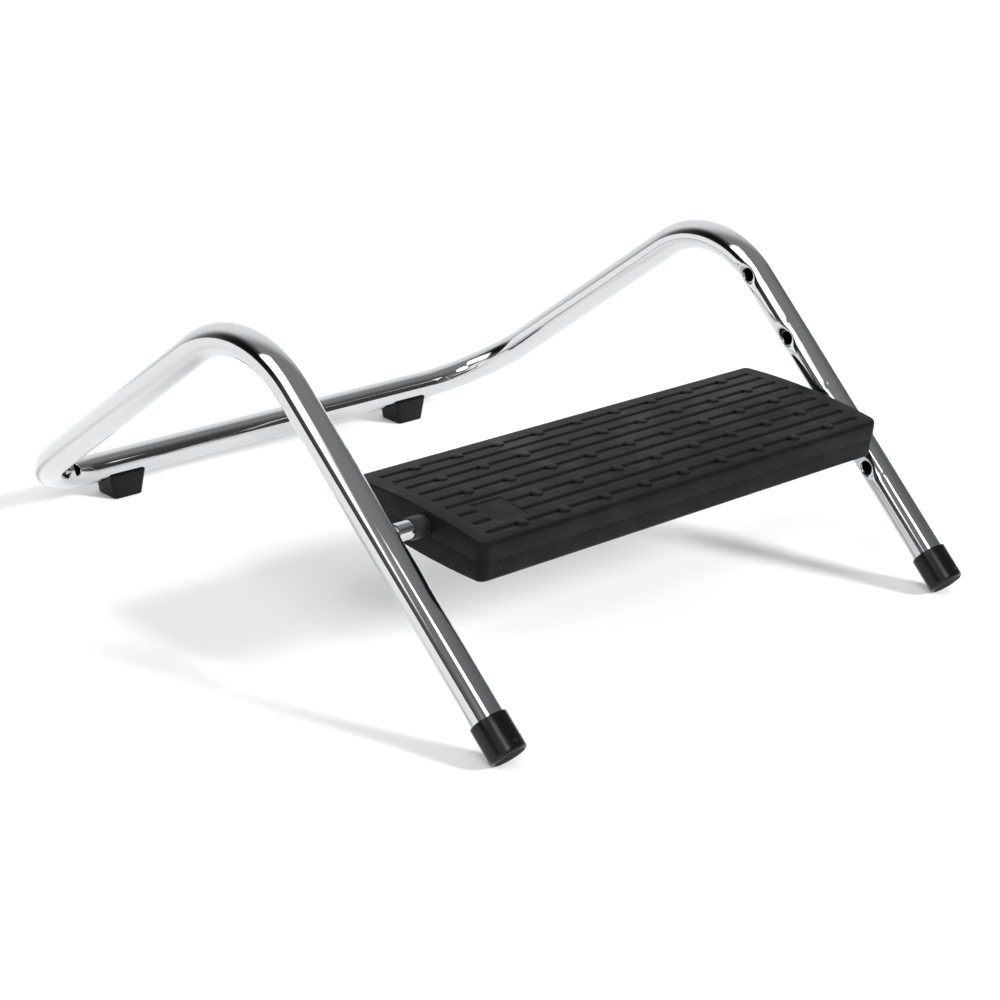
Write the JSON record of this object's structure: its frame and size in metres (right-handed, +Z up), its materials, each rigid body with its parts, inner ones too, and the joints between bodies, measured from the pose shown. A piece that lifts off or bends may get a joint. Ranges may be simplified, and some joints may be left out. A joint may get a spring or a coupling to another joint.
{
  "type": "tilting under-desk footrest",
  "caption": "Bent chrome tube floor stand carrying a studded black platform that tilts on a sprung cross pin and can move to other height holes.",
  "frame": {"origin": "on the floor under the middle of the whole object", "axes": "+X along the platform to the right as seen from the front, +Y from the foot caps to the rear bar, +Z up"},
  "size_m": [0.4712, 0.5232, 0.2111],
  "materials": {
    "chrome": "bright plated, mirror smooth",
    "steel": "plain zinc plated",
    "black_rubber": "moulded, dull with a soft sheen",
    "black_plastic": "fine spark texture",
    "black_nylon": "smooth moulded"
  },
  "bodies": {
    "frame": {"frame_tube": "chrome", "foot_cap_left": "black_rubber", "foot_cap_right": "black_rubber", "rear_pad_left": "black_rubber", "rear_pad_right": "black_rubber", "rear_pad_screw_left": "steel", "rear_pad_screw_right": "steel"},
    "platform": {"tread_shell": "black_plastic", "lower_shell": "black_plastic", "axle_tube": "steel", "plunger_spring": "steel", "plunger_stop_pin": "steel", "spring_seat_pin": "steel", "right_pin": "chrome", "right_pin_key": "steel", "end_bush_left": "black_nylon", "end_bush_right": "black_nylon", "shell_screw_1": "steel", "shell_screw_2": "steel", "shell_screw_3": "steel", "shell_screw_4": "steel", "shell_screw_5": "steel", "shell_screw_6": "steel", "shell_screw_7": "steel", "shell_screw_8": "steel"},
    "plunger": {"left_plunger": "chrome"}
  },
  "joints": [
    {"name": "platform_tilt", "type": "hinge", "parent": "frame", "child": "platform", "pos_m": [0, -0.13645, 0.10999], "axis": [1, 0, 0], "continuous": true},
    {"name": "plunger_slide", "type": "slide", "parent": "platform", "child": "plunger", "axis": [1, 0, 0], "range_m": [0, 0.009], "stiffness_N_per_m": 1000, "springref_m": -0.01, "deforming": ["plunger_spring"]}
  ]
}
